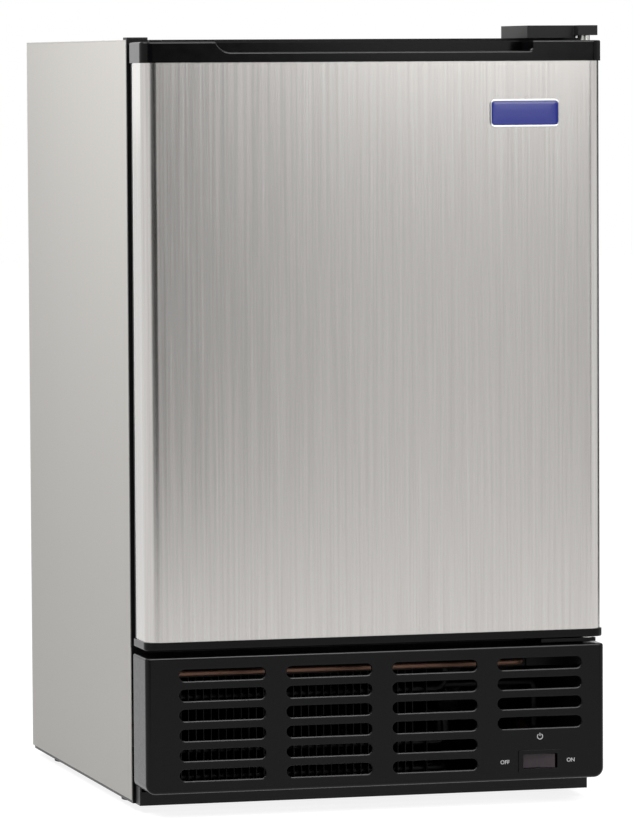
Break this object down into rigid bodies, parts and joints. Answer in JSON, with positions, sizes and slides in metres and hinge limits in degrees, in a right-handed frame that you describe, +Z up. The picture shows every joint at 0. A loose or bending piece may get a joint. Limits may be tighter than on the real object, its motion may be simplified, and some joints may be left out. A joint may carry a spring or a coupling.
{
  "type": "ice maker",
  "caption": "Compact free-standing ice maker with a right-hung stainless door, pocket handle, louvred kick plate, rocker switch, ejector module and slide-out bin.",
  "frame": {"origin": "middle of the overall footprint, on the floor under the feet", "axes": "+Z up, front faces -Y, +X to the right seen from the front"},
  "size_m": [0.38, 0.436, 0.626],
  "materials": {
    "painted_steel": "satin",
    "galvanised_steel": "satin",
    "black_steel": "satin",
    "brushed_stainless": "satin",
    "bright_steel": "satin",
    "black_gloss_plastic": "gloss",
    "rocker_plastic": "gloss",
    "black_plastic": "matte",
    "white_plastic": "satin",
    "foam": "matte",
    "gasket_rubber": "matte",
    "aluminium": "satin",
    "copper": "satin",
    "motor_steel": "satin",
    "badge_enamel": "gloss"
  },
  "bodies": {
    "cabinet": {"left_side_panel": "painted_steel", "right_side_panel": "painted_steel", "top_panel": "painted_steel", "back_panel": "galvanised_steel", "deck_panel": "black_steel", "front_frame": "black_plastic", "inner_liner": "white_plastic", "cabinet_foam": "foam", "base_pan": "black_steel", "rear_cover": "galvanised_steel", "upper_hinge_bracket": "black_steel", "hinge_cover": "black_gloss_plastic", "lower_hinge_bracket": "black_steel", "hinge_pins": "bright_steel", "screws": "bright_steel", "hinge_blank_plate": "black_gloss_plastic", "kick_plate": "black_gloss_plastic", "switch_body": "black_gloss_plastic", "ice_mould": "aluminium", "module_head": "white_plastic", "module_cover": "white_plastic", "gear_motor": "motor_steel", "stripper": "white_plastic", "fill_cup": "white_plastic", "fill_tube": "white_plastic", "evaporator_plate": "aluminium", "compressor": "black_steel", "compressor_grommets": "gasket_rubber", "relay_box": "black_plastic", "condenser_coil": "black_steel", "condenser_fins": "black_steel", "fan_shroud": "black_plastic", "fan_motor": "motor_steel", "filter_drier": "copper", "condenser_lines": "copper", "evaporator_lines": "copper", "water_valve": "white_plastic", "junction_box": "black_plastic", "cord_gland": "black_plastic"},
    "door": {"door_skin": "brushed_stainless", "door_foam": "foam", "door_liner": "white_plastic", "door_retainer": "black_plastic", "door_gasket": "gasket_rubber", "door_top_trim": "black_gloss_plastic", "door_bottom_trim": "black_gloss_plastic", "door_bushes": "white_plastic", "hinge_hole_plug": "black_gloss_plastic", "badge": "badge_enamel"},
    "rocker": {"rocker": "rocker_plastic"},
    "ice_bin": {"ice_bin": "white_plastic"},
    "shut_off_arm": {"shut_off_arm": "motor_steel"},
    "ejector": {"ejector": "white_plastic", "drive_gear": "white_plastic"},
    "motor_pinion": {"motor_pinion": "white_plastic"},
    "fan": {"fan_blade": "black_plastic"},
    "foot_front_left": {"foot_front_left": "black_plastic"},
    "foot_front_right": {"foot_front_right": "black_plastic"},
    "foot_back_left": {"foot_back_left": "black_plastic"},
    "foot_back_right": {"foot_back_right": "black_plastic"}
  },
  "joints": [
    {"name": "door_swing", "type": "hinge", "parent": "cabinet", "child": "door", "pos_m": [0.18, -0.2, 0.1337], "axis": [0, 0, 1], "range_deg": [0, 120]},
    {"name": "rocker_tip", "type": "hinge", "parent": "cabinet", "child": "rocker", "pos_m": [0.13555, -0.2094, 0.0343], "axis": [0, 0, 1], "range_deg": [0, 16]},
    {"name": "bin_slide", "type": "slide", "parent": "cabinet", "child": "ice_bin", "axis": [0, -1, 0], "range_m": [0, 0.028]},
    {"name": "arm_lift", "type": "hinge", "parent": "cabinet", "child": "shut_off_arm", "pos_m": [-0.077, -0.064, 0.484], "axis": [0, -1, 0], "range_deg": [0, 50]},
    {"name": "ejector_turn", "type": "hinge", "parent": "cabinet", "child": "ejector", "pos_m": [-0.116, -0.075, 0.516], "axis": [0, 1, 0], "continuous": true},
    {"name": "pinion_turn", "type": "hinge", "parent": "cabinet", "child": "motor_pinion", "pos_m": [-0.116, -0.075, 0.484], "axis": [0, 1, 0], "continuous": true},
    {"name": "fan_turn", "type": "hinge", "parent": "cabinet", "child": "fan", "pos_m": [-0.0525, -0.104, 0.06475], "axis": [0, 1, 0], "continuous": true},
    {"name": "foot_front_left_screw", "type": "slide", "parent": "cabinet", "child": "foot_front_left", "axis": [0, 0, -1], "range_m": [0, 0.01]},
    {"name": "foot_front_right_screw", "type": "slide", "parent": "cabinet", "child": "foot_front_right", "axis": [0, 0, -1], "range_m": [0, 0.01]},
    {"name": "foot_back_left_screw", "type": "slide", "parent": "cabinet", "child": "foot_back_left", "axis": [0, 0, -1], "range_m": [0, 0.01]},
    {"name": "foot_back_right_screw", "type": "slide", "parent": "cabinet", "child": "foot_back_right", "axis": [0, 0, -1], "range_m": [0, 0.01]}
  ],
  "couplings": [
    {"joint": "pinion_turn", "follows": "ejector_turn", "ratio": -3}
  ]
}
